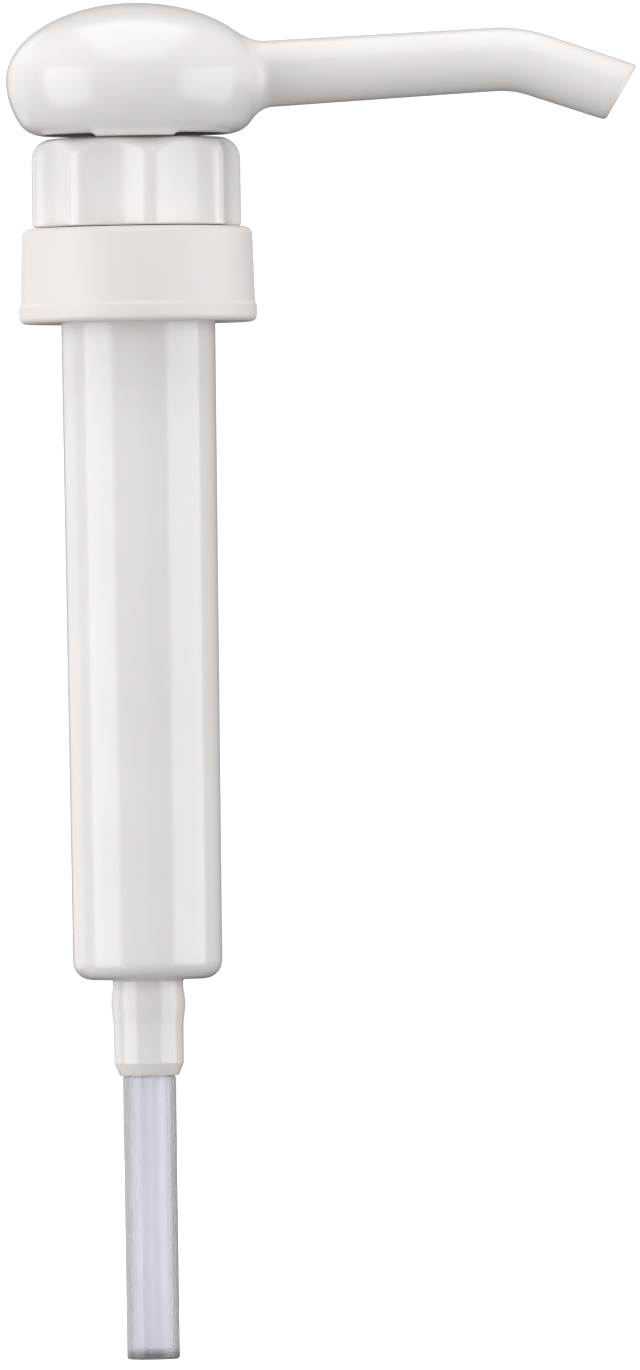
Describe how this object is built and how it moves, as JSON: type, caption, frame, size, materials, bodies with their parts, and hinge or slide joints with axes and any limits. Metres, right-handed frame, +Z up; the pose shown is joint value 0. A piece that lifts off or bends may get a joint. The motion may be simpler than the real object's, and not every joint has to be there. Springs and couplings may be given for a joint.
{
  "type": "condiment pump dispenser",
  "caption": "Jug pump with a domed head, long bent spout, fluted lock nut, screw cap, long cylinder and dip tube; the plunger slides, turns and has ball valves.",
  "frame": {"origin": "on the pump's axis, in the plane where the underside of the neck gasket meets the jug's rim", "axes": "+Z up along the pump's axis, +X towards the spout"},
  "size_m": [0.1136, 0.0464, 0.2441],
  "materials": {
    "white_plastic": "glossy moulded polypropylene",
    "satin_plastic": "satin moulded polypropylene",
    "clear_plastic": "translucent extruded polyethylene",
    "seal": "soft elastomer",
    "steel": "bright stainless"
  },
  "bodies": {
    "pump_body": {"pump_cylinder": "white_plastic", "dip_tube": "clear_plastic", "neck_gasket": "seal", "lock_nut": "white_plastic", "stem_guide": "white_plastic", "stem_wiper": "seal", "cylinder_seal_ring": "seal", "inlet_ball_cage": "white_plastic", "return_spring": "steel"},
    "closure": {"screw_cap": "satin_plastic"},
    "spring_follower": {"spring_cup": "white_plastic"},
    "plunger": {"actuator_head": "white_plastic", "stem": "white_plastic", "piston_core": "white_plastic", "piston_seal": "seal", "piston_retainer": "white_plastic", "outlet_ball_stop": "white_plastic"},
    "inlet_valve": {"inlet_ball": "steel"},
    "outlet_valve": {"outlet_ball": "steel"}
  },
  "joints": [
    {"name": "pump_stroke", "type": "slide", "parent": "pump_body", "child": "spring_follower", "axis": [0, 0, 1], "range_m": [0, 0.062], "deforming": ["return_spring"]},
    {"name": "head_swivel", "type": "hinge", "parent": "spring_follower", "child": "plunger", "pos_m": [0, 0, 0], "axis": [0, 0, 1], "continuous": true},
    {"name": "cap_turn", "type": "hinge", "parent": "pump_body", "child": "closure", "pos_m": [0, 0, 0], "axis": [0, 0, 1], "continuous": true},
    {"name": "inlet_ball_lift", "type": "slide", "parent": "pump_body", "child": "inlet_valve", "axis": [0, 0, 1], "range_m": [0, 0.003]},
    {"name": "outlet_ball_lift", "type": "slide", "parent": "plunger", "child": "outlet_valve", "axis": [0, 0, 1], "range_m": [0, 0.003]}
  ]
}
